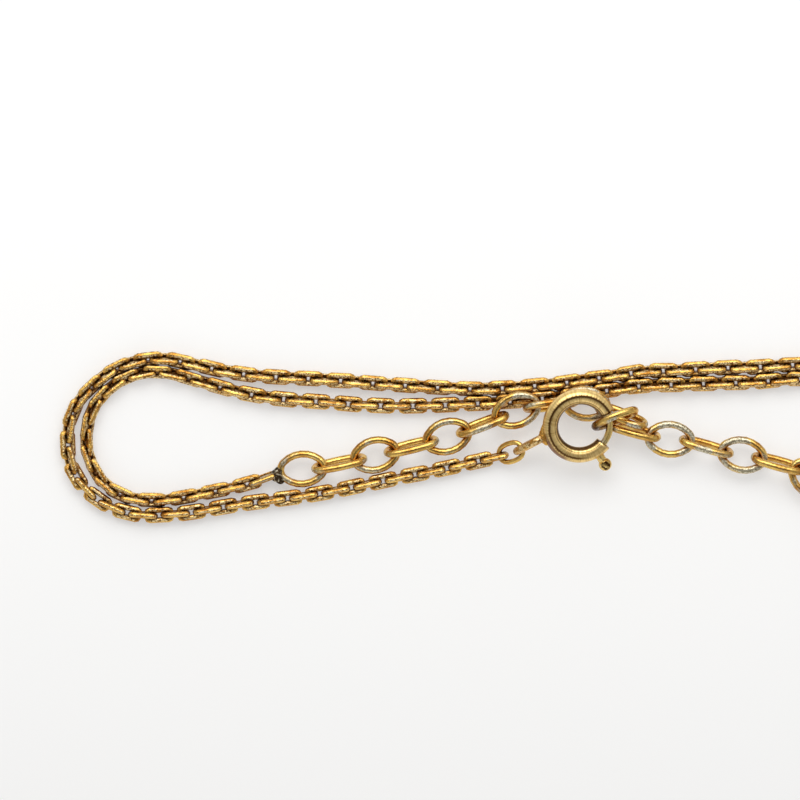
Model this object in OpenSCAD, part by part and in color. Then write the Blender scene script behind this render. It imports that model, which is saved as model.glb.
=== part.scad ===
// A fine gold necklace that lies doubled on a table: a flattened cable chain, a spring ring that
// is hooked into an extender of larger oval links, and a puffed heart on a bail at the far turn.
// Millimetres. X runs along the doubled necklace, Z is up, and the table is at Z = 0.

/* [Fine chain] */
// Number of fine links, the soldered end link included
fine_count = 224; // [222:2:226]
// Outer length of a fine link
fine_len = 2.85; // [2.75:0.05:2.9]
// Outer width of a fine link
fine_wide = 1.65; // [1.6:0.05:1.7]
// Thickness of the flattened wire in the plane of a link
fine_wire = 0.36; // [0.32:0.02:0.38]
// Depth of the flattened wire across the plane of a link
fine_deep = 0.42; // [0.38:0.02:0.46]
// Chamfer of the outer corners of a fine link
fine_chamfer = 0.45; // [0.3:0.05:0.5]

/* [Extender] */
// Outer length of a wide extender link
wide_len = 5.35; // [5.3:0.05:5.4]
// Outer width of a wide extender link
wide_wide = 4.05; // [3.9:0.05:4.15]
// Outer length of a narrow extender link
narrow_len = 6.1; // [6.05:0.05:6.15]
// Outer width of a narrow extender link
narrow_wide = 3.1; // [3.05:0.05:3.15]
// Wire diameter of the extender links
ext_wire = 0.7; // [0.66:0.02:0.72]

/* [Spring ring] */
// Radius of the spring ring, at the middle of its tube
ring_r = 3.17; // [3.1:0.01:3.2]
// Outer radius of the tube
tube_r = 0.85; // [0.8:0.01:0.87]
// Bore radius of the tube
tube_bore = 0.55; // [0.5:0.01:0.58]
// Angle at which the mouth of the ring starts, at the side of the knob
mouth_from = -38; // [-40:1:-34]
// Angle at which the mouth of the ring ends
mouth_to = 36; // [34:1:40]
// Radius of the wire of the sliding bolt
bolt_r = 0.36; // [0.3:0.01:0.4]
// Travel of the bolt, in degrees
bolt_travel = 55; // [40:1:58]
// Radius of the knob's ball
knob_r = 0.7; // [0.6:0.05:0.75]
// Distance of the ball from the ring's centre
knob_at = 5.2; // [5.0:0.05:5.4]

/* [Pendant] */
// Radius of the two lobes of the heart
lobe_r = 4.8; // [4.4:0.1:5]
// Distance of each lobe's centre from the middle line
lobe_off = 4.5; // [4.2:0.1:4.6]
// Distance from the lobes' centres to the tip
tip_at = 13; // [12:0.5:14]
// Half of the thickness of the heart
puff = 2.1; // [1.8:0.1:2.2]
// Outer length of the bail
bail_len = 6; // [5.9:0.1:6.1]
// Outer width of the bail
bail_wide = 4.4; // [4.2:0.1:4.6]
// Wire diameter of the bail and of the heart's eye
bail_wire = 0.9; // [0.8:0.05:0.95]

/* [Hidden] */
GOLD = [0.64, 0.5, 0.27];
PALE = [0.78, 0.66, 0.42];
SOLDER = [0.3, 0.26, 0.18];
WIRE_FN = 24;
BALL_FN = 32;
SWEEP_FN = 96;
// How far a cut runs past what it cuts
EXTRA = 1;
// Space left between the fine chain and the table
TABLE_GAP = 0.02;

// The chain's route from the clasp to the solder joint: x, y, lift above the table, roll.
// Roll is how far the left side of the second, fourth and sixth link is turned up, and the
// links between them stand a quarter turn from that.
ROUTE = [
    [-38.22, -2.12, 0, -12], [-40.7, -2.68, 0, -12], [-44.4, -3.5, 0, -11],
    [-48.2, -4.27, 0, -11], [-53.3, -5.3, 0, -11], [-58.4, -6.3, 0, -11],
    [-62.9, -6.95, 0, -11], [-67.3, -7.5, 0, -11], [-72.6, -8.4, 0, -9],
    [-75.4, -8.65, 0, -8], [-77.9, -8.75, 0, -7], [-80.5, -8.3, 0, -5],
    [-82.9, -7.15, 0, 0], [-84.9, -5.4, 0, 8], [-86.2, -3.05, 0, 15],
    [-86.5, -0.9, 0, 22], [-86.35, 1.4, 0, 30], [-85.25, 3.95, 0, 35], [-82.5, 6.7, 0, 35],
    [-79.7, 8.2, 0, 30], [-76, 8.78, 0, 26], [-71.8, 7.95, 0, 22], [-67.3, 7.05, 0, 18],
    [-62.9, 6.6, 0, 17], [-58.4, 6.4, 0, 17], [-54, 6.05, 0, 17], [-49.6, 5.8, 0, 17],
    [-45.1, 5.55, 0, 17], [-40.7, 5.5, 0, 17], [-36.2, 5.8, 0, 17],
    [-31.8, 6.22, 0, 17], [-27.3, 6.85, 0, 17], [-22.9, 7.45, 0, 17],
    [-18.4, 7.55, 0, 17], [-14, 7.8, 0, 17], [-9.6, 7.85, 0, 17], [-5.1, 8.15, 0, 17],
    [5.5, 8.1, 0, 17], [16, 8, 0, 17], [26.5, 8, 0, 17], [37, 8, 0, 17],
    [47.5, 7.8, 0, 16], [53.5, 7.9, 0, 14], [59, 7.6, 0.2, 10], [63.5, 6.4, 0.7, 6],
    [66.15, 3.7, 1.1, 2], [67, 0.5, 1.3, 0], [66.15, -2.7, 1.1, -2], [63.5, -5.4, 0.7, -6],
    [59, -6.6, 0.2, -10], [53.5, -5.2, 0, -14], [47.5, -2.2, 0, -16], [37, 1.8, 0, -17],
    [26.5, 4.6, 0, -17], [16, 5.9, 0, -17], [5.5, 6.25, 0, -17],
    [-5.1, 6.3, 0, -17], [-9.6, 5.9, 0, -17], [-14, 5.75, 0, -17],
    [-18.4, 5.6, 0, -17], [-22.9, 5.5, 0, -17], [-27.3, 5, 0, -17],
    [-29.9, 4.65, 0, -17], [-33.9, 4.22, 0, -17], [-36.2, 4, 0, -17],
    [-40.7, 3.7, 0, -17], [-45.1, 3.5, 0, -17], [-49.6, 3.38, 0, -17],
    [-54, 3.5, 0, -17], [-58.4, 3.85, 0, -18], [-62.9, 4.12, 0, -20],
    [-67.3, 4.8, 0, -26], [-71.8, 5.93, 0, -34], [-76, 6.95, 0, -40],
    [-78.9, 6.65, 0, -43], [-81.4, 5.4, 0, -45], [-83.5, 3.15, 0, -45],
    [-84.35, 0.75, 0, -46], [-84.4, -1.35, 0, -48], [-83.55, -3.7, 0, -52],
    [-82, -5.5, 0, -56], [-79.7, -6.68, 0, -60], [-77.2, -6.95, 0, -63],
    [-74.7, -6.78, 0, -65], [-71.9, -6.25, 0, -65], [-69, -5.7, 0, -66],
    [-66.2, -5.15, 0, -68], [-64, -4.4, 0.1, -70],
];

// The extender's links: x, y, z, heading, climb, roll. The first of them is wide, and the
// kinds take turns. A wide link lies nearly flat, and a narrow one stands on its edge.
EXTENDER = [
    [-60.4, -3.6, 1.3, 5, 4, 4], [-56.3, -3.0, 1.5, 12, 0, 110],
    [-52.3, -2.05, 1.5, 14, 0, 6], [-48.3, -1.1, 1.5, 14, 0, 110],
    [-44.3, 0, 1.5, 18, 0, 6], [-40.4, 1.35, 1.68, 21, 5, 108],
    [-36.65, 2.9, 2.06, 20, 1, 11], [-32.95, 3.45, 1.96, 9, 5, 68],
    [-29, 3.65, 2.02, -9, -2, 18], [-25.03, 2.33, 2.07, -22, 12, 115],
    [-25.5, 1.6, 3.36, 13, 0, 62], [-23.65, 0.67, 2.18, -15, -9, 110],
    [-19.6, -0.3, 1.7, -6, -2, 3], [-15.55, -1.1, 1.55, -16, 0, 108],
    [-11.55, -2.05, 1.5, -12, 0, 4], [-7.55, -3, 1.5, -15, 0, 112],
    [-3.9, -4.7, 1.5, -38, 0, 4], [-0.5, -7, 1.5, -31, 0, 108],
    [3.3, -8.4, 1.5, -10, 0, 4],
];

// The spring ring's centre, its tilt, and the side that the tilt raises
RING_C = [-29.89, 1.22, 3.85];
RING_TILT = 15;
RING_UP = 112;
KNOB_ANGLE = -54;
STEM_R = 0.32;
BOLT_TAIL = -78;
BOLT_TIP = mouth_to + 3;
SLOT_HALF = 0.42;
SLOT_EASE = 7;

// The loop that is soldered to the ring: middle, heading, climb and size
EYE_C = [-35.2, -0.87, 2.75];
EYE_AT = [28, 36, 90];
EYE_LEN = 4.5;
EYE_WIDE = 2.3;
EYE_WIRE = 0.7;

// The round link between the chain and that loop
END_C = [-37.24, -1.75, 1.41];
END_AT = [20, 24, 0];
END_LEN = 3.5;
END_WIDE = 2.6;
END_WIRE = 0.52;

// The solder blob between the last fine link and the first extender link: x, y, z, radius
SOLDER_DROPS = [[-63.25, -4.33, 1.05, 0.72], [-63, -3.85, 1.1, 0.5], [-62.85, -4.8, 1.05, 0.48]];
// The drops are turned so that no pole of a drop meets a link's wire
SOLDER_TURN = [60, 35, 0];

BAIL_X = 67.65;
HEART_X = 73.4;
PENDANT_Y = 0.5;
EYELET_X = 70.4;
EYELET_R = 1.25;
TIP_R = 0.9;
NECK_X = 71.9;
NECK_R = 0.8;

EXT_COUNT = len(EXTENDER);

// A smooth curve through the route: Catmull-Rom between the rows
STEPS = 8;
LAST = len(ROUTE) - 1;
function row(i) = ROUTE[max(0, min(LAST, i))];
function spline(a, b, c, d, t) =
    0.5 * (2 * b + (c - a) * t + (2 * a - 5 * b + 4 * c - d) * t * t
           + (3 * b - a - 3 * c + d) * t * t * t);
function plan(p) = [p[0], p[1]];
SAMPLES = [
    for (i = [0 : LAST - 1]) for (k = [0 : STEPS - 1])
        spline(row(i - 1), row(i), row(i + 1), row(i + 2), k / STEPS),
    row(LAST)
];
RUN = [
    for (i = 0, s = 0; i < len(SAMPLES);
         s = s + (i + 1 < len(SAMPLES) ? norm(plan(SAMPLES[i + 1]) - plan(SAMPLES[i])) : 0),
         i = i + 1) s
];
ROUTE_LEN = RUN[len(RUN) - 1];
COLUMNS = [for (c = [0 : 3]) [for (i = [0 : len(RUN) - 1]) [RUN[i], SAMPLES[i][c]]]];
function along(s) = [for (c = [0 : 3]) lookup(s, COLUMNS[c])];

// The height at which the chain's axis lies when its links rest on the table
function rest_z(roll) = let (c = abs(cos(roll)), s = abs(sin(roll)))
    max(fine_wide / 2 * s + fine_deep / 2 * c, fine_wide / 2 * c + fine_deep / 2 * s) + TABLE_GAP;
function joint(i) = let (p = along(i * ROUTE_LEN / fine_count)) [p[0], p[1], p[2] + rest_z(p[3])];
function link_roll(i) = along((i + 0.5) * ROUTE_LEN / fine_count)[3] + (i % 2 == 0 ? 90 : 0);

module arc_wire(radius, from, sweep, wire) {
    rotate([0, 0, from])
        rotate_extrude(angle = sweep, $fn = SWEEP_FN)
            translate([radius, 0]) circle(d = wire, $fn = WIRE_FN);
}

// A wire link with round ends and straight sides, flat in XY with its length along X
module wire_link(len, wide, wire) {
    b = (wide - wire) / 2;
    straight = len - wide;
    for (s = [0, 180]) rotate([0, 0, s]) {
        translate([straight / 2, 0, 0]) arc_wire(b, -90, 180, wire);
        translate([-straight / 2, b, 0]) rotate([0, 90, 0])
            cylinder(d = wire, h = straight, $fn = WIRE_FN);
    }
}

module chamfered(len, wide, cut) {
    x = len / 2;
    y = wide / 2;
    polygon([
        [x, y - cut], [x - cut, y], [cut - x, y], [-x, y - cut],
        [-x, cut - y], [cut - x, -y], [x - cut, -y], [x, cut - y],
    ]);
}

module fine_link() {
    inner_cut = fine_chamfer - fine_wire * (2 - sqrt(2));
    translate([0, 0, -fine_deep / 2])
        linear_extrude(height = fine_deep)
            difference() {
                chamfered(fine_len, fine_wide, fine_chamfer);
                chamfered(fine_len - 2 * fine_wire, fine_wide - 2 * fine_wire, inner_cut);
            }
}

module placed_fine_link(i) {
    from = joint(i);
    d = joint(i + 1) - from;
    heading = atan2(d[1], d[0]);
    climb = atan2(d[2], norm([d[0], d[1]]));
    translate(from + d / 2) rotate([link_roll(i), -climb, heading]) fine_link();
}

module placed_extender_link(i) {
    p = EXTENDER[i];
    translate([p[0], p[1], p[2]]) rotate([p[5], -p[4], p[3]])
        if (i % 2 == 0) wire_link(wide_len, wide_wide, ext_wire);
        else wire_link(narrow_len, narrow_wide, ext_wire);
}

module ring_place() {
    translate(RING_C) rotate([0, 0, RING_UP]) rotate([0, -RING_TILT, 0]) rotate([0, 0, -RING_UP])
        children();
}

module fine_chain() {
    color(GOLD) for (i = [0 : fine_count - 2]) placed_fine_link(i);
}

module extender_end() {
    color(GOLD) placed_extender_link(0);
    color(GOLD) placed_fine_link(fine_count - 1);
    color(SOLDER) for (p = SOLDER_DROPS) translate([p[0], p[1], p[2]])
        rotate(SOLDER_TURN) sphere(r = p[3], $fn = WIRE_FN);
}

module extender_link(i) {
    color(GOLD) placed_extender_link(i);
}

module clasp_tube() {
    sweep = 360 - (mouth_to - mouth_from);
    slot_from = KNOB_ANGLE - bolt_travel - SLOT_EASE;
    difference() {
        rotate([0, 0, mouth_to]) rotate_extrude(angle = sweep, $fn = SWEEP_FN)
            translate([ring_r, 0]) circle(r = tube_r, $fn = BALL_FN);
        rotate([0, 0, mouth_to - EXTRA]) rotate_extrude(angle = sweep + 2 * EXTRA, $fn = SWEEP_FN)
            translate([ring_r, 0]) circle(r = tube_bore, $fn = BALL_FN);
        rotate([0, 0, slot_from]) rotate_extrude(angle = bolt_travel + 2 * SLOT_EASE, $fn = SWEEP_FN)
            translate([ring_r + tube_bore / 2, -SLOT_HALF]) square([tube_r, 2 * SLOT_HALF]);
    }
}

module clasp_ring() {
    color(PALE) ring_place() clasp_tube();
    color(GOLD) translate(EYE_C) rotate([EYE_AT[2], -EYE_AT[1], EYE_AT[0]])
        wire_link(EYE_LEN, EYE_WIDE, EYE_WIRE);
}

module clasp_bolt() {
    color(GOLD) ring_place() {
        arc_wire(ring_r, BOLT_TAIL, BOLT_TIP - BOLT_TAIL, 2 * bolt_r);
        rotate([0, 0, KNOB_ANGLE]) {
            translate([ring_r, 0, 0]) rotate([0, 90, 0])
                cylinder(r = STEM_R, h = knob_at - ring_r, $fn = WIRE_FN);
            translate([knob_at, 0, 0]) sphere(r = knob_r, $fn = BALL_FN);
        }
    }
}

module clasp_link() {
    color(GOLD) translate(END_C) rotate([END_AT[2], -END_AT[1], END_AT[0]])
        wire_link(END_LEN, END_WIDE, END_WIRE);
}

module bail() {
    color(PALE) translate([BAIL_X, PENDANT_Y, bail_wide / 2]) rotate([90, 0, 0])
        wire_link(bail_len, bail_wide, bail_wire);
}

module heart() {
    color(PALE) {
        for (s = [-1, 1]) hull() {
            translate([HEART_X, PENDANT_Y + s * lobe_off, puff])
                scale([1, 1, puff / lobe_r]) sphere(r = lobe_r, $fn = BALL_FN);
            translate([HEART_X + tip_at, PENDANT_Y, puff]) sphere(r = TIP_R, $fn = WIRE_FN);
        }
        translate([EYELET_X, PENDANT_Y, puff]) arc_wire(EYELET_R, 0, 360, bail_wire);
        translate([NECK_X, PENDANT_Y, puff]) sphere(r = NECK_R, $fn = WIRE_FN);
    }
}

fine_chain();
extender_end();
clasp_ring();
clasp_bolt();
clasp_link();
bail();
heart();
for (i = [1 : EXT_COUNT - 1])
    extender_link(i);
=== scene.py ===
"""A fine gold necklace, laid doubled on a pale table, its spring ring hooked into its extender."""

import math
import random

import bpy
from mathutils import Euler, Matrix, Vector


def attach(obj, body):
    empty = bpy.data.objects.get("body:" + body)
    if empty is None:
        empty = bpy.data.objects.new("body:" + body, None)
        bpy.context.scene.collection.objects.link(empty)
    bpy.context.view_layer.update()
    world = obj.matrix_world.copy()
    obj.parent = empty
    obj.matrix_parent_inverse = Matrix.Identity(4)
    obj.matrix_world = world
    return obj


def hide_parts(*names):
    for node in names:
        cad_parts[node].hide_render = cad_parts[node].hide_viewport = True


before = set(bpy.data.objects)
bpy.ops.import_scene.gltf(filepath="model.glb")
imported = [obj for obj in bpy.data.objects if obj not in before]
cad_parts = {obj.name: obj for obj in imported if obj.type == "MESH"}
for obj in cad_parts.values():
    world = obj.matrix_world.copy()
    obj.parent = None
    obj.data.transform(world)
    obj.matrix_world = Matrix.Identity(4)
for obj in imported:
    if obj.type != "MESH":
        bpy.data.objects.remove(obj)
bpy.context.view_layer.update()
HOLDER = "necklace"
SLIDER = "bolt"
MM = 0.001

# The chain's route from the clasp to the solder joint, in millimetres: x, y, lift above the
# table and roll in degrees. Roll is how far the left side of every second link is turned up.
ROUTE = [
    (-38.22, -2.12, 0, -12), (-40.7, -2.68, 0, -12), (-44.4, -3.5, 0, -11),
    (-48.2, -4.27, 0, -11), (-53.3, -5.3, 0, -11), (-58.4, -6.3, 0, -11),
    (-62.9, -6.95, 0, -11), (-67.3, -7.5, 0, -11), (-72.6, -8.4, 0, -9),
    (-75.4, -8.65, 0, -8), (-77.9, -8.75, 0, -7), (-80.5, -8.3, 0, -5),
    (-82.9, -7.15, 0, 0), (-84.9, -5.4, 0, 8), (-86.2, -3.05, 0, 15),
    (-86.5, -0.9, 0, 22), (-86.35, 1.4, 0, 30), (-85.25, 3.95, 0, 35), (-82.5, 6.7, 0, 35),
    (-79.7, 8.15, 0, 30), (-76, 8.7, 0, 26), (-71.8, 7.87, 0, 22), (-67.3, 7.0, 0, 18),
    (-62.9, 6.6, 0, 17), (-58.4, 6.4, 0, 17), (-54, 6.05, 0, 17), (-49.6, 5.75, 0, 17),
    (-45.1, 5.45, 0, 17), (-40.7, 5.3, 0, 17), (-36.2, 5.52, 0, 17),
    (-31.8, 5.94, 0, 17), (-27.3, 6.55, 0, 17), (-22.9, 7.2, 0, 17),
    (-18.4, 7.4, 0, 17), (-14, 7.65, 0, 17), (-9.6, 7.74, 0, 17), (-5.1, 8.02, 0, 17),
    (5.5, 8.1, 0, 17), (16, 8, 0, 17), (26.5, 8, 0, 17), (37, 8, 0, 17),
    (47.5, 7.8, 0, 16), (53.5, 7.9, 0, 14), (59, 7.6, 0.2, 10), (63.5, 6.4, 0.7, 6),
    (66.15, 3.7, 1.1, 2), (67, 0.5, 1.3, 0), (66.15, -2.7, 1.1, -2), (63.5, -5.4, 0.7, -6),
    (59, -6.6, 0.2, -10), (53.5, -5.2, 0, -14), (47.5, -2.2, 0, -16), (37, 1.8, 0, -17),
    (26.5, 4.6, 0, -17), (16, 5.9, 0, -17), (5.5, 6.25, 0, -17),
    (-5.1, 6.43, 0, -17), (-9.6, 6.1, 0, -17), (-14, 5.95, 0, -17),
    (-18.4, 5.8, 0, -17), (-22.9, 5.64, 0, -17), (-27.3, 5, 0, -17),
    (-29.9, 4.65, 0, -17), (-33.9, 4.22, 0, -17), (-36.2, 4, 0, -17),
    (-40.7, 3.7, 0, -14), (-45.1, 3.5, 0, -12), (-49.6, 3.4, 0, -12),
    (-54, 3.55, 0, -12), (-58.4, 3.88, 0, -13), (-62.9, 4.2, 0, -16),
    (-67.3, 4.92, 0, -22), (-71.8, 6.14, 0, -32), (-76, 7.2, 0, -40),
    (-79.05, 6.9, 0, -43), (-81.6, 5.58, 0, -45), (-83.7, 3.22, 0, -45),
    (-84.35, 0.75, 0, -46), (-84.4, -1.35, 0, -48), (-83.55, -3.7, 0, -52),
    (-82.05, -5.55, 0, -56), (-79.7, -6.78, 0, -60), (-77.2, -7.07, 0, -63),
    (-74.7, -6.92, 0, -65), (-71.9, -6.4, 0, -65), (-69, -5.82, 0, -66),
    (-66.2, -5.15, 0, -68), (-64, -4.4, 0.1, -70),
]
CURVE_STEPS = 8
FINE_COUNT = 224

# The gap between the chain and the table, in millimetres
TABLE_GAP = 0.02

# Every second fine link stands, a quarter turn further round, and leans over by up to LEAN
# more. The other three are the route's rolls at which that starts, is full and ends.
QUARTER = 90
LEAN = 18
LEAN_STARTS = 12
LEAN_FULL = 17
LEAN_ENDS = 40

# How unevenly the fine links lie, in degrees
HEADING_SHAKE = 0.7
ROLL_SHAKE = 2.2
SHAKE_SEED = 12

# The extender's links, in millimetres and degrees: x, y, z, heading, climb, roll. The first
# is wide, and wide and narrow links take turns.
EXTENDER = [
    (-60.4, -3.6, 1.3, 5, 4, 4), (-56.3, -3.0, 1.5, 12, 0, 110),
    (-52.3, -2.05, 1.5, 14, 0, 6), (-48.3, -1.1, 1.5, 14, 0, 110),
    (-44.3, 0, 1.5, 18, 0, 6), (-40.4, 1.35, 1.68, 21, 5, 108),
    (-36.65, 2.9, 2.06, 20, 1, 11), (-32.8, 3.5, 1.97, 8, 3, 76),
    (-29, 3.65, 2.02, -9, -2, 18), (-25.03, 2.33, 2.07, -22, 12, 115),
    (-25.76, 2.0, 3.37, 22, 2, 78), (-23.66, 0.67, 1.82, -15, -3, 110),
    (-19.6, -0.3, 1.7, -6, -2, 3), (-15.55, -1.1, 1.55, -16, 0, 108),
    (-11.55, -2.05, 1.5, -12, 0, 4), (-7.55, -3, 1.5, -15, 0, 112),
    (-3.9, -4.7, 1.5, -38, 0, 4), (-0.5, -7, 1.5, -31, 0, 108),
    (3.3, -8.4, 1.5, -10, 0, 4),
]

# The fine link, and the slimmer one of the solids, which sets how high the chain rests
FINE_LEN = 3.32 * MM
FINE_WIDE = 1.74 * MM
FINE_WIRE = 0.58 * MM
FINE_DEEP = 0.76 * MM
FINE_CORNER = 0.58 * MM
FINE_EDGE = 0.17 * MM
FINE_END_DEEP = 0.7
CAD_FINE_WIDE = 1.65 * MM
CAD_FINE_DEEP = 0.42 * MM

# Depths in the fine link's wire, as shares of it: the eased rim, the slim ends, the worn rim,
# and the ends and the inside that get grime and painted shade
EASED_RIM = 0.25
SLIM_END = 1.05
WORN_RIM = 0.2
GRIMY_SHADED_END = 1.1
GRIMY_SHADED_INSIDE = 0.9

# How much grime and painted shade the fine link's inside and its ends get
INSIDE_GRIME_AND_SHADE = 0.8
END_GRIME_AND_SHADE = 0.45

# How squarely a face looks one way to count as facing it, and how much the flat faces shade
# their smooth edges
FACING = 0.8
FLAT_WEIGHT = 80

# Wire links: outer length, outer width and wire, and the radius of the end arcs
WIDE_LINK = (5.7 * MM, 4.16 * MM, 0.82 * MM)
NARROW_LINK = (6.4 * MM, 3.15 * MM, 0.82 * MM)
HOOKED_LINK = (5.6 * MM, 4.1 * MM, 0.9 * MM)
HOOKED_AT = 10
WIDE_END_R = 1.2 * MM
NARROW_END_R = 0.98 * MM
EYE_LINK = (4.5 * MM, 2.3 * MM, 0.9 * MM)
EYE_END_R = 0.6 * MM
END_LINK = (3.5 * MM, 2.6 * MM, 0.58 * MM)
END_END_R = 0.95 * MM

# Where the painted shade on the hooked link's end starts, in millimetres from its middle
PAINTED_SHADE_TIP = (1.2, 1.7)

# The spring ring's place, its tube with the mouth, and its bolt
RING_C = Vector((-29.64, 1.21, 3.82)) * MM
RING_TILT = math.radians(15)
RING_UP = math.radians(112)
RING_R = 3.32 * MM
TUBE_R = 0.87 * MM
TUBE_BORE = 0.56 * MM
TUBE_SIDES = 28
TUBE_STEPS = 84
MOUTH_RIM = 0.06 * MM
BORE_DEPTH = 0.5 * MM
MOUTH_FROM = math.radians(-38)
MOUTH_TO = math.radians(27)
KNOB_ANGLE = math.radians(-57)
BOLT_TAIL = math.radians(-78)
BOLT_TIP = math.radians(39)
BOLT_R = 0.4 * MM
BOLT_SIDES = 16
BOLT_STEPS = 36
KNOB_R = 0.73 * MM
KNOB_AT = 5.3 * MM
STEM_R = 0.48 * MM

# The dimple in the ball and the grime round it start at these shares of the ball's radius
DIMPLE_FROM = 0.88
DIMPLE_DEPTH = 0.1 * MM
DIMPLE_GRIME_FROM = 0.72

# The ring's eye and the link that hangs on it: x, y, z, heading, climb, roll
EYE_PLACE = (-35.2, -0.87, 2.75, 28, 36, 90)
END_PLACE = (-37.24, -1.75, 1.41, 20, 24, 0)

# Drops of solder, in millimetres: x, y, z and radius
EYE_DROPS = [
    (-33.68, 1.2, 4.25, 0.24), (-33.7, 0.85, 4.15, 0.34), (-33.75, 0.45, 4.0, 0.42),
    (-33.78, 0.05, 3.9, 0.5), (-33.6, -0.3, 3.8, 0.48), (-33.35, -0.65, 3.75, 0.36),
]
SOLDER_DROPS = [
    (-63.25, -4.33, 1.05, 0.74), (-63.0, -3.85, 1.1, 0.55), (-62.85, -4.8, 1.05, 0.52),
]
SOLDER_VOXEL = 0.06 * MM
SOLDER_RELAX = 20

# The pendant at the far turn
BAIL_PLACE = (67.65, 0.5, 2.2, 0, 0, 90)
BAIL_LINK = (6.0 * MM, 4.4 * MM, 0.9 * MM)
BAIL_END_R = 1.3 * MM
HEART_X = 73.4 * MM
PENDANT_Y = 0.5 * MM
LOBE_R = 4.8 * MM
LOBE_OFF = 4.5 * MM
TIP_AT = 13 * MM
TIP_R = 0.9 * MM
PUFF = 2.1 * MM
HEART_VOXEL = 0.2 * MM
HEART_RELAX = 14
EYELET_X = 70.4 * MM
EYELET_R = 1.25 * MM
EYELET_WIRE = 0.9 * MM
EYELET_SIDES = 14
EYELET_STEPS = 36

# Marks on the ring, as shares of a turn round it and of a turn round its tube, which is what
# the map gives
ROUND_MAP = "round"
SEAM_AT = 0.708
SEAM_HALF = 0.014
SEAM_SOFT = 2.5 * SEAM_HALF
SEAM_RAGGED = 0.016
SEAM_FADE = (0.74, 0.82)
# The step and the inner edge are darkened with painted shade
STEP_AT = 0.835
INNER_EDGE = 0.865
BURN_AT = 0.62
BURN_SIDE = 0.56

MERGE = 0.004 * MM


# Small modelling steps


def unselect_all():
    if bpy.context.object and bpy.context.object.mode != "OBJECT":
        bpy.ops.object.mode_set(mode="OBJECT")
    bpy.ops.object.select_all(action="DESELECT")


def new_piece(name):
    """Names the primitive that was just added, and puts its place into its mesh."""
    piece = bpy.context.active_object
    piece.name = name
    piece.data.name = name
    bpy.ops.object.transform_apply(location=True, rotation=True, scale=True)
    return piece


def start_edit(mode="VERT", select="SELECT"):
    bpy.ops.object.mode_set(mode="EDIT")
    bpy.ops.mesh.select_mode(type=mode)
    bpy.ops.mesh.select_all(action=select)


def end_edit():
    bpy.ops.object.mode_set(mode="OBJECT")


def pick_faces(piece, test):
    """Selects the faces that pass the test, and goes back to edit mode."""
    bpy.ops.mesh.select_all(action="DESELECT")
    end_edit()
    for face in piece.data.polygons:
        face.select = test(face)
    bpy.ops.object.mode_set(mode="EDIT")
    bpy.ops.mesh.select_mode(type="FACE")


def pick_edges(piece, test):
    """Selects the edges whose two ends pass the test, and goes back to edit mode."""
    bpy.ops.mesh.select_all(action="DESELECT")
    bpy.ops.mesh.select_mode(type="EDGE")
    end_edit()
    points = piece.data.vertices
    for edge in piece.data.edges:
        a, b = edge.vertices
        edge.select = test(points[a].co, points[b].co)
    bpy.ops.object.mode_set(mode="EDIT")


def close_up():
    """Merges what meets, turns all faces outwards and leaves edit mode."""
    bpy.ops.mesh.select_mode(type="VERT")
    bpy.ops.mesh.select_all(action="SELECT")
    bpy.ops.mesh.remove_doubles(threshold=MERGE)
    bpy.ops.mesh.normals_make_consistent(inside=False)
    end_edit()


def cap_ends():
    """Closes the open ends of a swept section."""
    bpy.ops.mesh.select_mode(type="EDGE")
    bpy.ops.mesh.select_all(action="DESELECT")
    bpy.ops.mesh.select_non_manifold()
    bpy.ops.mesh.edge_face_add()


def smooth(piece):
    unselect_all()
    piece.select_set(True)
    bpy.context.view_layer.objects.active = piece
    bpy.ops.object.shade_smooth()


def melt(piece, voxel, rounds):
    """Runs the joined shapes of a piece together into one skin, and relaxes it."""
    remesh = piece.modifiers.new("melt", "REMESH")
    remesh.mode = "VOXEL"
    remesh.voxel_size = voxel
    bpy.ops.object.modifier_apply(modifier=remesh.name)
    relax = piece.modifiers.new("relax", "SMOOTH")
    relax.iterations = rounds
    bpy.ops.object.modifier_apply(modifier=relax.name)
    smooth(piece)


def mark(piece, name, value_of):
    """Gives each face a value from 0 to 1 that a finish reads by its name."""
    layer = piece.data.attributes.new(name, "FLOAT", "FACE")
    for face in piece.data.polygons:
        layer.data[face.index].value = value_of(face)


def between(value, low, high):
    return max(low, min(high, value))


def join(pieces, name):
    unselect_all()
    for piece in pieces:
        piece.select_set(True)
    bpy.context.view_layer.objects.active = pieces[0]
    if len(pieces) > 1:
        bpy.ops.object.join()
    joined = bpy.context.active_object
    joined.name = name
    joined.data.name = name
    return joined


def copy_at(source, matrix, name):
    """A copy with a mesh of its own, its place worked into the mesh."""
    copy = source.copy()
    copy.data = source.data.copy()
    copy.name = name
    copy.data.name = name
    copy.data.transform(matrix)
    bpy.context.scene.collection.objects.link(copy)
    return copy


def discard(piece):
    bpy.data.objects.remove(piece, do_unlink=True)


def place(x, y, z, heading, climb, roll):
    """The matrix for a link that was modelled flat in XY, from millimetres and degrees."""
    turn = Euler((math.radians(roll), -math.radians(climb), math.radians(heading)), "XYZ")
    return Matrix.Translation(Vector((x, y, z)) * MM) @ turn.to_matrix().to_4x4()


def spin(steps, angle, centre):
    """Sweeps the selection anticlockwise in XY. The minus is there because spin turns clockwise."""
    bpy.ops.mesh.spin(steps=steps, angle=-angle, center=centre, axis=(0, 0, 1))


def section(radius, sides, at, turn):
    """A round wire section that stands across a ring in XY, turn radians round from X."""
    unselect_all()
    bpy.ops.mesh.primitive_circle_add(
        vertices=sides, radius=radius, fill_type="NOTHING",
        location=at, rotation=(math.pi / 2, 0, turn),
    )
    return new_piece("section")


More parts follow.
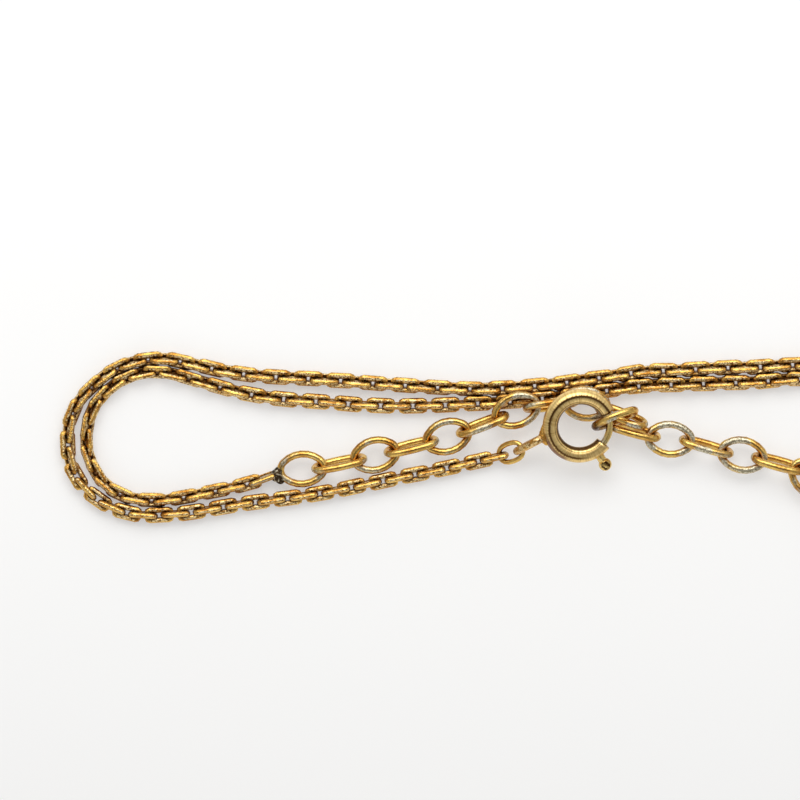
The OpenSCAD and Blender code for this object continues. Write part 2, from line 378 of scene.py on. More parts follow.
def oval_wire(size, end_r, sides=12, end_steps=7, side_steps=6):
    """A closed oval of wire, flat in XY with its length along X: two end and two side arcs."""
    length, width, wire = size
    a = (length - wire) / 2
    b = (width - wire) / 2
    side_r = ((a - end_r) ** 2 + b * b - end_r * end_r) / (2 * (b - end_r))
    half = math.atan2(side_r - b, a - end_r)
    start = (a - end_r + end_r * math.cos(half), -end_r * math.sin(half), 0)
    link = section(wire / 2, sides, start, -half)
    start_edit()
    spin(end_steps, 2 * half, (a - end_r, 0, 0))
    spin(side_steps, math.pi - 2 * half, (0, b - side_r, 0))
    spin(end_steps, 2 * half, (end_r - a, 0, 0))
    spin(side_steps, math.pi - 2 * half, (0, side_r - b, 0))
    close_up()
    return link


# The fine chain


def route_row(i):
    """A row of the route, or its end row where i lies past the end."""
    return Vector(ROUTE[between(i, 0, len(ROUTE) - 1)])


def spline(a, b, c, d, t):
    """A smooth curve from b to c, for t from 0 to 1, that comes from a and goes on to d."""
    square = (2 * a - 5 * b + 4 * c - d) * t * t
    cube = (3 * b - a - 3 * c + d) * t ** 3
    return 0.5 * (2 * b + (c - a) * t + square + cube)


def route_samples():
    """Points along the route, each with its distance from the start in plan."""
    points = []
    for i in range(len(ROUTE) - 1):
        around = [route_row(i + step) for step in (-1, 0, 1, 2)]
        points += [spline(*around, k / CURVE_STEPS) for k in range(CURVE_STEPS)]
    points.append(route_row(len(ROUTE) - 1))
    run = [0.0]
    for a, b in zip(points, points[1:]):
        run.append(run[-1] + (b.xy - a.xy).length)
    return points, run


ROUTE_POINTS, ROUTE_RUN = route_samples()


def along(distance):
    """The route's row at a distance from its start."""
    i = 1
    while i < len(ROUTE_RUN) - 1 and ROUTE_RUN[i] < distance:
        i += 1
    t = (distance - ROUTE_RUN[i - 1]) / (ROUTE_RUN[i] - ROUTE_RUN[i - 1])
    return ROUTE_POINTS[i - 1].lerp(ROUTE_POINTS[i], min(1, t))


def rest_height(roll):
    """How high the chain's middle lies when its links rest on the table, in millimetres."""
    c = abs(math.cos(math.radians(roll)))
    s = abs(math.sin(math.radians(roll)))
    wide = CAD_FINE_WIDE / MM / 2
    deep = CAD_FINE_DEEP / MM / 2
    return max(wide * s + deep * c, wide * c + deep * s) + TABLE_GAP


def fine_joint(i):
    row = along(i * ROUTE_RUN[-1] / FINE_COUNT)
    return Vector((row[0], row[1], row[2] + rest_height(row[3])))


def lean(roll):
    """How much further than a quarter turn the standing links lean over, in degrees."""
    size = abs(roll)
    coming = max(0, size - LEAN_STARTS) / (LEAN_FULL - LEAN_STARTS)
    going = max(0, LEAN_ENDS - size) / (LEAN_ENDS - LEAN_FULL)
    return math.copysign(LEAN * min(1, coming, going), roll)


def fine_place(i, shake):
    """Where fine link i lies, with a small shake of its own."""
    start = fine_joint(i)
    way = fine_joint(i + 1) - start
    middle = start + way / 2
    heading = math.degrees(math.atan2(way.y, way.x))
    climb = math.degrees(math.atan2(way.z, way.xy.length))
    roll = along((i + 0.5) * ROUTE_RUN[-1] / FINE_COUNT)[3]
    if i % 2 == 0:
        roll += QUARTER + lean(roll)
    heading += shake.gauss(0, HEADING_SHAKE)
    roll += shake.gauss(0, ROLL_SHAKE)
    return place(*middle, heading, climb, roll)


def link_depth(co):
    """How far inside the fine link's outline a point lies, seen from above."""
    x = abs(co.x) - FINE_LEN / 2 + FINE_CORNER
    y = abs(co.y) - FINE_WIDE / 2 + FINE_CORNER
    return FINE_CORNER - math.hypot(max(x, 0), max(y, 0)) - min(max(x, y), 0)


def at_end(co, reach):
    """Whether a point is in the fine link's ends, reach wires in."""
    return abs(co.x) > FINE_LEN / 2 - FINE_WIRE * reach


def make_fine_link():
    """A flattened link, from a block with cut corners whose middle is bridged away."""
    unselect_all()
    bpy.ops.mesh.primitive_cube_add(size=1, scale=(FINE_LEN, FINE_WIDE, FINE_DEEP))
    link = new_piece("fine_link")
    start_edit("EDGE")
    pick_edges(link, lambda a, b: abs(a.z - b.z) > FINE_DEEP / 2)
    bpy.ops.mesh.bevel(offset=FINE_CORNER, offset_type="OFFSET", segments=2, affect="EDGES")
    pick_faces(link, lambda face: abs(face.normal.z) > FACING)
    bpy.ops.mesh.inset(thickness=FINE_WIRE, use_individual=True)
    bpy.ops.mesh.bridge_edge_loops()
    pick_edges(link, is_end_edge)
    bpy.ops.transform.resize(value=(1, 1, FINE_END_DEEP))
    pick_edges(link, is_rim_edge)
    bpy.ops.mesh.bevel(offset=FINE_EDGE, offset_type="OFFSET", segments=1, affect="EDGES")
    close_up()
    mark(link, "worn", worn_share)
    # The inside and the ends of the link get grime with painted shade, where neighbours shut them
    # in
    mark(link, "grime_and_shade", grime_and_shade_share)
    smooth(link)
    flats = link.modifiers.new("flats", "WEIGHTED_NORMAL")
    flats.weight = FLAT_WEIGHT
    bpy.ops.object.modifier_apply(modifier=flats.name)
    return link


def is_end_edge(a, b):
    """Whether an edge lies level in one of the fine link's ends."""
    level = abs(a.z - b.z) < MERGE
    return level and a.x * b.x > 0 and at_end(a, SLIM_END) and at_end(b, SLIM_END)


def is_rim_edge(a, b):
    """Whether an edge runs round the top or the bottom of the fine link's rim."""
    return a.z * b.z > 0 and max(link_depth(a), link_depth(b)) < FINE_WIRE * EASED_RIM


def worn_share(face):
    """Worn on the outer flats and along the rim."""
    on_rim = link_depth(face.center) < FINE_WIRE * WORN_RIM and abs(face.normal.y) > FACING
    on_flat = abs(face.normal.z) > FACING and not at_end(face.center, GRIMY_SHADED_END)
    return 1.0 if on_rim or on_flat else 0.0


def grime_and_shade_share(face):
    """Grime and painted shade inside the link, and less on its ends, which lie under its
    neighbours.
    """
    if link_depth(face.center) > FINE_WIRE * GRIMY_SHADED_INSIDE:
        return INSIDE_GRIME_AND_SHADE
    on_end = abs(face.normal.z) > FACING and at_end(face.center, GRIMY_SHADED_END)
    return END_GRIME_AND_SHADE if on_end else 0.0


def make_fine_chain():
    """The whole chain as one piece, and its last link by itself."""
    link = make_fine_link()
    shake = random.Random(SHAKE_SEED)
    copies = [copy_at(link, fine_place(i, shake), "fine_copy") for i in range(FINE_COUNT)]
    discard(link)
    return join(copies[:-1], "fine_chain_links"), copies[-1]


# The extender


def rubbed_flat(face):
    """A link that lies flat is rubbed on its upper and lower side."""
    return abs(face.normal.z)


def rubbed_round(face):
    """A standing link is rubbed round its outside."""
    return max(0.0, face.normal.xy.dot(face.center.xy.normalized()))


def painted_shade_tip(face):
    """The lower half of the hooked link's end gets painted shade."""
    tip_from, side_from = PAINTED_SHADE_TIP
    past = between(-face.center.x / MM - tip_from, 0.0, 1.0)
    return past * between(side_from - face.center.y / MM, 0.0, 1.0)


def make_extender(last_fine_link):
    """Oval wire links, the first of them soldered to the last fine link."""
    wide = oval_wire(WIDE_LINK, WIDE_END_R)
    mark(wide, "worn", rubbed_flat)
    narrow = oval_wire(NARROW_LINK, NARROW_END_R)
    mark(narrow, "worn", rubbed_round)
    hooked = oval_wire(HOOKED_LINK, WIDE_END_R)
    mark(hooked, "worn", rubbed_flat)
    # The lower side of the hooked link's end gets painted shade
    mark(hooked, "grime_and_shade", painted_shade_tip)
    links = []
    for i, row in enumerate(EXTENDER):
        source = hooked if i == HOOKED_AT else wide if i % 2 == 0 else narrow
        links.append(copy_at(source, place(*row), f"extender_wire_{i + 1}"))
        smooth(links[-1])
    for source in (wide, narrow, hooked):
        discard(source)
    end = join([links[0], last_fine_link], "extender_end_link")
    return end, links[1:]


def make_lump(rows, name):
    """Drops of solder, melted into one lump."""
    drops = []
    for x, y, z, radius in rows:
        unselect_all()
        bpy.ops.mesh.primitive_ico_sphere_add(
            subdivisions=4, radius=radius * MM, location=Vector((x, y, z)) * MM
        )
        drops.append(new_piece("solder_drop"))
    lump = join(drops, name)
    melt(lump, SOLDER_VOXEL, SOLDER_RELAX)
    return lump


# The spring ring


def ring_matrix():
    """Puts what was modelled flat in XY in the ring's place, tilted up on one side."""
    tilt = Matrix.Rotation(RING_UP, 4, "Z") @ Matrix.Rotation(-RING_TILT, 4, "Y")
    return Matrix.Translation(RING_C) @ tilt @ Matrix.Rotation(-RING_UP, 4, "Z")


def on_ring(angle, radius):
    return Vector((radius * math.cos(angle), radius * math.sin(angle), 0))


def round_place(co):
    """A point's share of a turn round the ring, and of a turn round the tube."""
    around = math.atan2(co.y, co.x) / (2 * math.pi) % 1
    return around, math.atan2(co.z, co.xy.length - RING_R) / (2 * math.pi) + 0.5


def map_round_ring(piece):
    """UVs that run round the ring and round its tube, so that a finish can follow both."""
    layer = piece.data.uv_layers.new(name=ROUND_MAP)
    layer.active_render = True
    for face in piece.data.polygons:
        middle = round_place(face.center)
        for loop in face.loop_indices:
            here = round_place(piece.data.vertices[piece.data.loops[loop].vertex_index].co)
            layer.data[loop].uv = [a + round(b - a) for a, b in zip(here, middle)]


def make_ring_tube():
    """The ring's tube, open at its mouth, with a bore in each end."""
    sweep = 2 * math.pi - (MOUTH_TO - MOUTH_FROM)
    tube = section(TUBE_R, TUBE_SIDES, on_ring(MOUTH_TO, RING_R), MOUTH_TO)
    start_edit()
    spin(TUBE_STEPS, sweep, (0, 0, 0))
    cap_ends()
    close_up()
    start_edit("FACE", "DESELECT")
    pick_faces(tube, lambda face: len(face.vertices) > 4)
    bpy.ops.mesh.inset(thickness=MOUTH_RIM, depth=0.0, use_individual=True)
    bpy.ops.mesh.inset(thickness=TUBE_R - TUBE_BORE - MOUTH_RIM, depth=0.0, use_individual=True)
    bpy.ops.mesh.inset(thickness=0.0, depth=-BORE_DEPTH, use_individual=True)
    close_up()
    smooth(tube)
    map_round_ring(tube)
    tube.data.transform(ring_matrix())
    tube.name = "ring_tube"
    return tube


def make_eye():
    eye = oval_wire(EYE_LINK, EYE_END_R)
    mark(eye, "worn", rubbed_round)
    eye.name = "ring_eye"
    eye.data.transform(place(*EYE_PLACE))
    smooth(eye)
    return eye


def make_bolt():
    """The sliding arm with its stem and ball."""
    arm = section(BOLT_R, BOLT_SIDES, on_ring(BOLT_TAIL, RING_R), BOLT_TAIL)
    start_edit()
    spin(BOLT_STEPS, BOLT_TIP - BOLT_TAIL, (0, 0, 0))
    cap_ends()
    close_up()
    mark(arm, "steel", lambda face: 1.0)
    unselect_all()
    bpy.ops.mesh.primitive_cylinder_add(
        vertices=20, radius=STEM_R, depth=KNOB_AT - RING_R,
        location=on_ring(KNOB_ANGLE, (RING_R + KNOB_AT) / 2),
        rotation=(0, math.pi / 2, KNOB_ANGLE),
    )
    stem = new_piece("stem")
    unselect_all()
    bpy.ops.mesh.primitive_uv_sphere_add(
        segments=32, ring_count=20, radius=KNOB_R, location=on_ring(KNOB_ANGLE, KNOB_AT)
    )
    ball = new_piece("ball")
    start_edit("FACE", "DESELECT")
    pick_faces(ball, lambda face: face.center.z > KNOB_R * DIMPLE_FROM)
    bpy.ops.transform.translate(value=(0, 0, -DIMPLE_DEPTH))
    close_up()
    mark(ball, "worn", lambda face: float(face.center.z > KNOB_R * DIMPLE_GRIME_FROM))
    bolt = join([arm, stem, ball], "bolt_arm")
    smooth(bolt)
    bolt.data.transform(ring_matrix())
    return bolt


def make_end_link():
    link = oval_wire(END_LINK, END_END_R)
    link.name = "clasp_end_link"
    link.data.transform(place(*END_PLACE))
    smooth(link)
    return link


# The pendant


def make_bail():
    bail = oval_wire(BAIL_LINK, BAIL_END_R, sides=16, end_steps=10, side_steps=8)
    bail.name = "bail_loop"
    bail.data.transform(place(*BAIL_PLACE))
    smooth(bail)
    return bail


def make_heart():
    """Two puffed lobes that run together to the tip."""
    halves = []
    for side in (-1, 1):
        unselect_all()
        bpy.ops.mesh.primitive_uv_sphere_add(
            segments=32, ring_count=16, radius=1, scale=(LOBE_R, LOBE_R, PUFF),
            location=(HEART_X, PENDANT_Y + side * LOBE_OFF, PUFF),
        )
        lobe = new_piece("lobe")
        unselect_all()
        bpy.ops.mesh.primitive_uv_sphere_add(
            segments=16, ring_count=12, radius=TIP_R, location=(HEART_X + TIP_AT, PENDANT_Y, PUFF)
        )
        half = join([lobe, new_piece("tip")], "half")
        start_edit()
        bpy.ops.mesh.convex_hull()
        end_edit()
        halves.append(half)
    heart = join(halves, "heart_body")
    melt(heart, HEART_VOXEL, HEART_RELAX)
    return heart


def make_eyelet():
    eyelet = section(EYELET_WIRE / 2, EYELET_SIDES, (EYELET_R, 0, 0), 0)
    start_edit()
    spin(EYELET_STEPS, 2 * math.pi, (0, 0, 0))
    close_up()
    eyelet.name = "heart_eyelet"
    eyelet.data.transform(Matrix.Translation((EYELET_X, PENDANT_Y, PUFF)))
    smooth(eyelet)
    return eyelet


# Finishes


class Finish:
    """A metal finish that is built up from noise layers in the object's own coordinates."""

    def __init__(self, name):
        self.material = bpy.data.materials.new(name)
        self.material.use_nodes = True
        self.nodes = self.material.node_tree.nodes
        self.links = self.material.node_tree.links
        self.shader = self.nodes["Principled BSDF"]
        self.where = self.nodes.new("ShaderNodeTexCoord").outputs["Object"]

    def noise(self, size, detail=3.0, where=None, stretch=None):
        """Noise whose spots are about size metres across, stretched by three factors."""
        source = where or self.where
        if stretch:
            mapping = self.nodes.new("ShaderNodeMapping")
            mapping.inputs["Scale"].default_value = stretch
            self.links.new(source, mapping.inputs["Vector"])
            source = mapping.outputs["Vector"]
        spots = self.nodes.new("ShaderNodeTexNoise")
        spots.inputs["Scale"].default_value = 1 / size
        spots.inputs["Detail"].default_value = detail
        self.links.new(source, spots.inputs["Vector"])
        return spots.outputs["Fac"]

    def ramp(self, value, low, high, start=0.0, end=1.0):
        """Goes from start to end while the value goes from low to high, and stays within."""
        node = self.nodes.new("ShaderNodeMapRange")
        node.inputs["From Min"].default_value = low
        node.inputs["From Max"].default_value = high
        node.inputs["To Min"].default_value = start
        node.inputs["To Max"].default_value = end
        self.links.new(value, node.inputs["Value"])
        return node.outputs["Result"]

    def plug(self, value, socket):
        """Links an output to a socket, or sets the socket to a plain value."""
        if isinstance(value, bpy.types.NodeSocket):
            self.links.new(value, socket)
        else:
            socket.default_value = value

    def reckon(self, kind, *values):
        node = self.nodes.new("ShaderNodeMath")
        node.operation = kind
        for value, socket in zip(values, node.inputs):
            self.plug(value, socket)
        return node.outputs["Value"]

    def times(self, a, b):
        return self.reckon("MULTIPLY", a, b)

    def most(self, a, b):
        """The larger of two values."""
        return self.reckon("MAXIMUM", a, b)

    def near(self, value, centre, inside, outside, strength):
        """strength within inside of a centre, fading to nothing at outside."""
        gap = self.reckon("ABSOLUTE", self.reckon("SUBTRACT", value, centre))
        return self.ramp(gap, inside, outside, strength, 0.0)

    def mix(self, factor, a, b):
        """Colour a where the factor is 0, and b where it is 1."""
        node = self.nodes.new("ShaderNodeMix")
        node.data_type = "RGBA"
        colours = [s for s in node.inputs if s.type == "RGBA"]
        for value, socket in zip((a, b), colours):
            self.plug((*value, 1) if isinstance(value, tuple) else value, socket)
        self.links.new(factor, node.inputs["Factor"])
        return next(s for s in node.outputs if s.type == "RGBA")

    def crevices(self, reach, shut, clear):
        """1 where the surface is shut in by others within reach, 0 where it lies clear."""
        node = self.nodes.new("ShaderNodeAmbientOcclusion")
        node.samples = 6
        node.inputs["Distance"].default_value = reach
        return self.ramp(node.outputs["AO"], shut, clear, 1.0, 0.0)

    def attribute(self, name):
        node = self.nodes.new("ShaderNodeAttribute")
        node.attribute_name = name
        return node.outputs["Fac"]

    def round_uv(self):
        """The map that runs round the ring and round its tube."""
        node = self.nodes.new("ShaderNodeUVMap")
        node.uv_map = ROUND_MAP
        return node.outputs["UV"]

    def split(self, vector):
        node = self.nodes.new("ShaderNodeSeparateXYZ")
        self.links.new(vector, node.inputs["Vector"])
        return node.outputs

    def bump(self, height, depth):
        node = self.nodes.new("ShaderNodeBump")
        node.inputs["Distance"].default_value = depth
        self.links.new(height, node.inputs["Height"])
        return node.outputs["Normal"]

    def set(self, name, value):
        self.plug(value, self.shader.inputs[name])

    def as_metal(self, colour, roughness, normal):
        """Makes the surface a bare metal, and gives its material back."""
        self.set("Base Color", colour)
        self.set("Metallic", 1.0)
        self.set("Roughness", roughness)
        self.set("Normal", normal)
        return self.material


# Colours
GOLD = (0.9, 0.56, 0.14)
WIRE_GOLD = (0.78, 0.51, 0.14)
# Deep gold is a cloud tone, and also the painted shade on sides near other metal
DEEP_GOLD = (0.48, 0.21, 0.035)
PALE_GOLD = (0.94, 0.68, 0.28)
BRUSHED_GOLD = (0.7, 0.46, 0.16)
BALL_GOLD = (0.78, 0.55, 0.19)
STRAW = (0.98, 0.77, 0.4)
PIT = (0.24, 0.11, 0.025)
BARE_METAL = (0.68, 0.62, 0.46)
BARE_PIT = (0.32, 0.27, 0.17)
# Grime that also serves as painted shade in crevices and hollows
GRIME_AND_SHADE = (0.075, 0.026, 0.005)
BURNT = (0.26, 0.14, 0.08)
TARNISH = (0.05, 0.03, 0.012)
TABLE_GREY = (0.6, 0.6, 0.595, 1)
WHITE = (1, 1, 1, 1)

# Sizes of the spots that the finishes are made of
PITS = 0.2 * MM
GRAIN = 0.3 * MM
SPOTS = 0.4 * MM
PATCHES = 0.8 * MM
WORN_PATCHES = 0.9 * MM
RUBBED_PATCHES = 2.2 * MM
CHAIN_CLOUDS = 1.3 * MM
WIRE_CLOUDS = 1.6 * MM
PENDANT_CLOUDS = 1.1 * MM

# Grime with painted shade in crevices, and painted shade on sides near other metal: how near
# the metal is that shuts a spot in, and how open it is where they are full and where they end
CHAIN_GRIME_AND_SHADE = (0.36 * MM, 0.3, 0.85)
CHAIN_PAINTED_SHADE = (1.2 * MM, 0.3, 0.75)
WIRE_GRIME_AND_SHADE = (0.35 * MM, 0.3, 0.65)
WIRE_PAINTED_SHADE = (1.5 * MM, 0.3, 0.75)
CLASP_GRIME_AND_SHADE = (0.4 * MM, 0.3, 0.65)
PAINTED_SHADE_SHARE = 0.85

# The brush marks round the ring: how many noise spots go round it, and round its tube
BRUSH_MARKS = (110.0, 3.0, 1.0)

# The extender is rubbed less at its left end. From x to x, in metres, and by how much
LESS_RUBBED = (-0.055, -0.03, 0.75, 1.1)

# The pendant: how much darker its clouds are, its least roughness and how far that varies
CLOUD_SHADE = 0.8
PENDANT_ROUGHNESS = 0.14
POLISH_RANGE = 0.12

# The table glows with painted light, less at the front. From y to y, in metres, and how much
TABLE_PAINTED_GLOW = (-0.045, 0.03, 0.34, 0.46)


def worn_chain_finish():
    """Gold worn pale and pitted on the fine links' outer flats, with grime and painted shade
    inside.
    """
    finish = Finish("worn_chain_gold")
    flats = finish.mix(finish.ramp(finish.noise(PITS, 2), 0.47, 0.58), STRAW, PIT)
    patches = finish.ramp(finish.noise(WORN_PATCHES), 0.34, 0.46)
    worn = finish.times(finish.attribute("worn"), patches)
    clouds = finish.ramp(finish.noise(CHAIN_CLOUDS), 0.35, 0.65)
    warm = finish.mix(clouds, GOLD, DEEP_GOLD)
    # Grime and painted shade inside the links and in the crevices between them
    dirt_and_shade = finish.most(finish.attribute("grime_and_shade"), finish.crevices(*CHAIN_GRIME_AND_SHADE))
    # Painted shade on the sides that lie near the table and other links
    painted_shade = finish.times(finish.crevices(*CHAIN_PAINTED_SHADE), PAINTED_SHADE_SHARE)
    gold = finish.mix(painted_shade, finish.mix(worn, warm, flats), DEEP_GOLD)
    return finish.as_metal(
        finish.mix(dirt_and_shade, gold, GRIME_AND_SHADE),
        finish.ramp(worn, 0.0, 1.0, 0.26, 0.38),
        finish.bump(finish.noise(PITS, 2), 0.08 * MM),
    )


def extender_finish():
    """Polished gold wire, rubbed through to grey pitted metal, with grime and painted shade where
    links touch.
    """
    finish = Finish("extender_gold")
    patches = finish.ramp(finish.noise(RUBBED_PATCHES, 1), 0.3, 0.6)
    from_left, _, _ = finish.split(finish.where)
    rubbed = finish.times(finish.attribute("worn"), patches)
    rubbed = finish.times(rubbed, finish.ramp(from_left, *LESS_RUBBED))
    rubbed = finish.ramp(rubbed, 0.45, 0.75)
    bare = finish.mix(finish.ramp(finish.noise(PITS, 2), 0.46, 0.56), BARE_METAL, BARE_PIT)
    clouds = finish.ramp(finish.noise(WIRE_CLOUDS), 0.4, 0.7)
    warm = finish.mix(clouds, WIRE_GOLD, DEEP_GOLD)
    # Grime and painted shade in the crevices, and painted shade on the hooked link's tip
    dirt_and_shade = finish.most(finish.attribute("grime_and_shade"), finish.crevices(*WIRE_GRIME_AND_SHADE))
    # Painted shade on the sides that lie near the table and other links
    painted_shade = finish.times(finish.crevices(*WIRE_PAINTED_SHADE), PAINTED_SHADE_SHARE)
    gold = finish.mix(painted_shade, finish.mix(rubbed, warm, bare), DEEP_GOLD)
    return finish.as_metal(
        finish.mix(dirt_and_shade, gold, GRIME_AND_SHADE),
        finish.ramp(rubbed, 0.0, 1.0, 0.16, 0.38),
        finish.bump(finish.noise(GRAIN, 4), 0.045 * MM),
    )


def ring_marks_and_shade(finish, round_ring, round_tube, brushed):
    """The ring's grimy seam with ticks beside it, and painted shade at the step and the inner edge.
    """
    ragged = finish.ramp(brushed, 0.2, 0.8, -SEAM_RAGGED, SEAM_RAGGED)
    wavy = finish.reckon("ADD", round_tube, ragged)
    line = finish.near(wavy, SEAM_AT, SEAM_HALF, SEAM_SOFT, 0.95)
    beside = finish.near(round_tube, SEAM_AT, 0.02, 0.05, 0.8)
    ticks = finish.times(beside, finish.ramp(brushed, 0.5, 0.6))
    fading = finish.ramp(round_ring, *SEAM_FADE, 1.0, 0.2)
    seam = finish.times(finish.most(line, ticks), fading)
    # A dark line painted as the shade of a step
    step = finish.near(round_tube, STEP_AT, 0.005, 0.012, 0.75)
    # Painted shade along the tube's inner edge
    inner_painted_shade = finish.ramp(round_tube, INNER_EDGE, INNER_EDGE + 0.02, 0.0, 0.85)
    return finish.most(finish.most(seam, inner_painted_shade), step)


def satin_ring_finish():
    """Satin pale gold, brushed across the tube, with its marks, painted shade and a burnt joint."""
    finish = Finish("satin_ring_gold")
    round_ring, round_tube, _ = finish.split(finish.round_uv())
    brushed = finish.noise(1.0, 2, where=finish.round_uv(), stretch=BRUSH_MARKS)
    gold = finish.mix(finish.ramp(brushed, 0.42, 0.68), PALE_GOLD, BRUSHED_GOLD)
    marks = ring_marks_and_shade(finish, round_ring, round_tube, brushed)
    # Grime and painted shade in the crevices
    dirt_and_shade = finish.most(marks, finish.crevices(*CLASP_GRIME_AND_SHADE))
    beside_joint = finish.near(round_ring, BURN_AT, 0.05, 0.1, 1.0)
    on_joint_side = finish.near(round_tube, BURN_SIDE, 0.08, 0.13, 1.0)
    scorched = finish.ramp(finish.noise(SPOTS, 4), 0.3, 0.5, 0.6)
    burn = finish.times(finish.times(beside_joint, on_joint_side), scorched)
    return finish.as_metal(
        finish.mix(dirt_and_shade, finish.mix(burn, gold, BURNT), GRIME_AND_SHADE),
        finish.ramp(brushed, 0.3, 0.7, 0.28, 0.38),
        finish.bump(brushed, 0.035 * MM),
    )


def bolt_finish():
    """A steel arm, and a gold stem and ball, with grime in the dimple, and grime and painted shade
    at the ring.
    """
    finish = Finish("bolt_gold")
    patches = finish.ramp(finish.noise(PATCHES, 1), 0.45, 0.6)
    steel = finish.times(finish.attribute("steel"), patches)
    specks = finish.ramp(finish.noise(GRAIN, 3), 0.44, 0.54)
    dimple = finish.times(finish.attribute("worn"), specks)
    # Grime and painted shade in the crevices, as where the bolt meets the ring
    dirt_and_shade = finish.most(dimple, finish.crevices(*CLASP_GRIME_AND_SHADE))
    return finish.as_metal(
        finish.mix(dirt_and_shade, finish.mix(steel, BALL_GOLD, BARE_METAL), GRIME_AND_SHADE),
        finish.ramp(specks, 0.0, 1.0, 0.14, 0.24),
        finish.bump(finish.noise(GRAIN, 3), 0.03 * MM),
    )


def pendant_finish():
    """Plain polished gold with faint clouds."""
    finish = Finish("pendant_gold")
    clouds = finish.ramp(finish.noise(PENDANT_CLOUDS), 0.4, 0.65)
    shaded = tuple(part * CLOUD_SHADE for part in PALE_GOLD)
    polish = (PENDANT_ROUGHNESS, PENDANT_ROUGHNESS + POLISH_RANGE)
    return finish.as_metal(
        finish.mix(clouds, PALE_GOLD, shaded),
        finish.ramp(finish.noise(SPOTS, 4), 0.3, 0.7, *polish),
        finish.bump(finish.noise(GRAIN, 4), 0.015 * MM),
    )


def solder_finish():
    """Dull, blackened solder with a few bright spots."""
    finish = Finish("burnt_solder")
    spots = finish.ramp(finish.noise(GRAIN, 4), 0.54, 0.66)
    finish.set("Base Color", finish.mix(spots, TARNISH, BARE_METAL))
    finish.set("Metallic", 0.9)
    finish.set("Roughness", finish.ramp(spots, 0.0, 1.0, 0.5, 0.3))
    finish.set("Normal", finish.bump(finish.noise(0.25 * MM, 5), 0.06 * MM))
    return finish.material


def table_finish():
    """Matt paper with a painted glow, weaker at the front, so that it is a little darker there."""
    finish = Finish("table_paper")
    _, from_front, _ = finish.split(finish.where)
    finish.set("Base Color", TABLE_GREY)
    # Painted light: the paper glows, which lightens it and the shadows on it
    finish.set("Emission Color", WHITE)
    finish.set("Emission Strength", finish.ramp(from_front, *TABLE_PAINTED_GLOW))
    finish.set("Roughness", 0.7)
    finish.set("Specular IOR Level", 0.1)
    return finish.material


def dress(piece, material, slot, body, *nodes):
    """Gives a piece its finish, its body and the nodes that it stands for."""
    piece.data.materials.clear()
    piece.data.materials.append(material)
    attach(piece, body)
    if nodes:
        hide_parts(*nodes)


# The stage


# The camera looks straight down on the middle of a square
VIEW_C = Vector((-49.56, 4.06, 1.0)) * MM
VIEW_SIDE = 88.9 * MM
CAMERA_UP = 0.6
CAMERA_NEAR = 0.01
SENSOR = 36
TABLE_SIDE = 6
TABLE_Z = -0.05 * MM

# Lamps: name, place, size, watts and colour
LAMPS = [
    ("key", (-0.05, 0.42, 0.5), (0.6, 0.4), 1.8, (1, 0.985, 0.96)),
    ("fill", (-0.15, -0.6, 0.3), (0.7, 0.2), 0.25, (1, 0.99, 0.97)),
]

# The studio's sides: direction, the cosine of the angle from it at which the full glow
# starts, the glow away from the side, and the full glow. They all fade out at SIDE_EDGE.
ROOM_GLOW = 0.07
SIDE_EDGE = 0.6
NORTH_SIDE = ((0.0, 0.75, 0.66), 0.88, 0.0, 0.85)
SOUTH_SIDE = ((-0.1, -0.9, 0.4), 0.92, ROOM_GLOW, 0.6)
WEST_SIDE = ((-0.8, 0.1, 0.6), 0.9, 0.0, 0.4)
EAST_SIDE = ((0.8, 0.1, 0.5), 0.9, 0.0, 0.48)


def add_lamp(name, at, size, watts, colour):
    """A soft rectangular lamp that shines on the middle of the view."""
    light = bpy.data.lights.new(name, "AREA")
    light.shape = "RECTANGLE"
    light.size, light.size_y = size
    light.energy = watts
    light.color = colour
    lamp = bpy.data.objects.new(name, light)
    lamp.location = at
    lamp.rotation_euler = (VIEW_C - Vector(at)).to_track_quat("-Z", "Y").to_euler()
    bpy.context.scene.collection.objects.link(lamp)


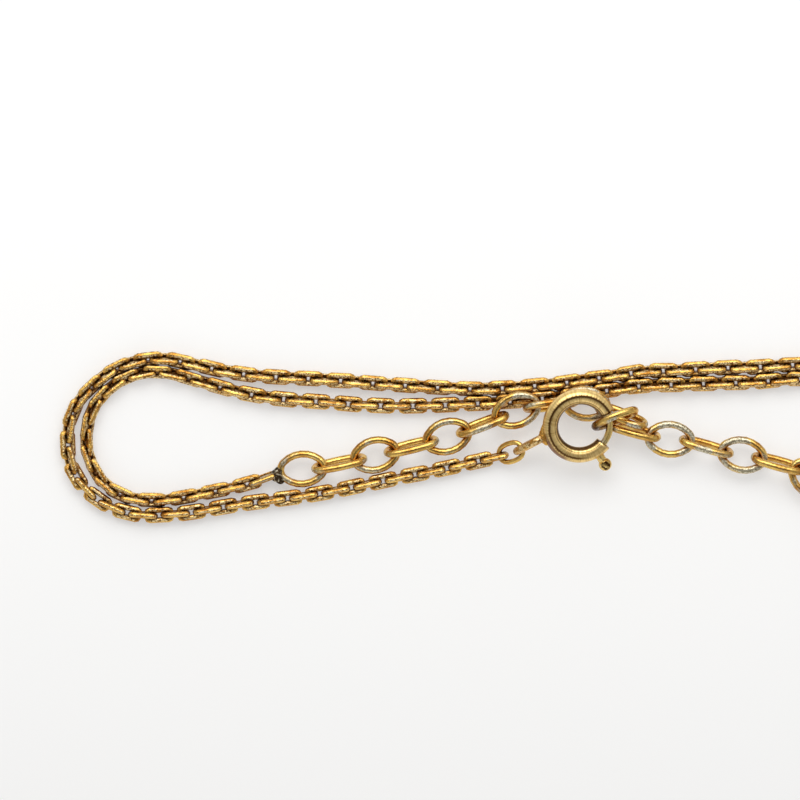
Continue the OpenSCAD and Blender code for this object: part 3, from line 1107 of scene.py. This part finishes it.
def set_world():
    """A studio round the table: a bright north side, three softer sides and a dim room."""
    world = bpy.data.worlds.new("studio")
    world.use_nodes = True
    nodes = world.node_tree.nodes
    links = world.node_tree.links
    way = nodes.new("ShaderNodeTexCoord").outputs["Generated"]

    def side(direction, full_from, low, high):
        """low away from a direction, rising softly to high at it."""
        dot = nodes.new("ShaderNodeVectorMath")
        dot.operation = "DOT_PRODUCT"
        dot.inputs[1].default_value = Vector(direction).normalized()
        links.new(way, dot.inputs[0])
        fade = nodes.new("ShaderNodeMapRange")
        fade.interpolation_type = "SMOOTHSTEP"
        fade.inputs["From Min"].default_value = SIDE_EDGE
        fade.inputs["From Max"].default_value = full_from
        fade.inputs["To Min"].default_value = low
        fade.inputs["To Max"].default_value = high
        links.new(dot.outputs["Value"], fade.inputs["Value"])
        return fade.outputs["Result"]

    def add(a, b):
        node = nodes.new("ShaderNodeMath")
        node.operation = "ADD"
        links.new(a, node.inputs[0])
        links.new(b, node.inputs[1])
        return node.outputs["Value"]

    long_sides = add(side(*NORTH_SIDE), side(*SOUTH_SIDE))
    short_sides = add(side(*WEST_SIDE), side(*EAST_SIDE))
    nodes["Background"].inputs["Color"].default_value = WHITE
    links.new(add(long_sides, short_sides), nodes["Background"].inputs["Strength"])
    bpy.context.scene.world = world


def set_stage():
    """The table, the camera, the lamps and the studio."""
    unselect_all()
    bpy.ops.mesh.primitive_plane_add(size=TABLE_SIDE, location=(0, 0, TABLE_Z))
    table = new_piece("table")
    table.data.materials.append(table_finish())
    camera = bpy.data.cameras.new("camera")
    camera.sensor_width = SENSOR
    camera.lens = SENSOR * CAMERA_UP / VIEW_SIDE
    camera.clip_start = CAMERA_NEAR
    eye = bpy.data.objects.new("camera", camera)
    eye.location = VIEW_C + Vector((0, 0, CAMERA_UP))
    bpy.context.scene.collection.objects.link(eye)
    bpy.context.scene.camera = eye
    for lamp in LAMPS:
        add_lamp(*lamp)
    set_world()
    bpy.context.scene.view_settings.view_transform = "Standard"


def make_necklace():
    """Every piece of the necklace, with its finish and its body."""
    chain_gold = worn_chain_finish()
    extender_gold = extender_finish()
    chain, last_fine_link = make_fine_chain()
    dress(chain, chain_gold, "chain_gold", HOLDER, "fine_chain")
    end, links = make_extender(last_fine_link)
    dress(end, extender_gold, "extender_gold", HOLDER, "extender_end")
    lump = make_lump(SOLDER_DROPS, "solder_lump")
    dress(lump, solder_finish(), "extender_gold", HOLDER, "extender_end")
    for i, link in enumerate(links):
        dress(link, extender_gold, "extender_gold", HOLDER, f"extender_link_{i + 2}")
    dress(make_ring_tube(), satin_ring_finish(), "clasp_gold", HOLDER, "clasp_ring")
    dress(make_eye(), chain_gold, "clasp_gold", HOLDER, "clasp_ring")
    dress(make_lump(EYE_DROPS, "eye_joint"), chain_gold, "clasp_gold", HOLDER, "clasp_ring")
    dress(make_bolt(), bolt_finish(), "bolt_gold", SLIDER, "clasp_bolt")
    dress(make_end_link(), extender_gold, "extender_gold", HOLDER, "clasp_link")
    pendant_gold = pendant_finish()
    dress(make_bail(), pendant_gold, "pendant_gold", HOLDER, "bail")
    dress(make_heart(), pendant_gold, "pendant_gold", HOLDER, "heart")
    dress(make_eyelet(), pendant_gold, "pendant_gold", HOLDER, "heart")


set_stage()
make_necklace()
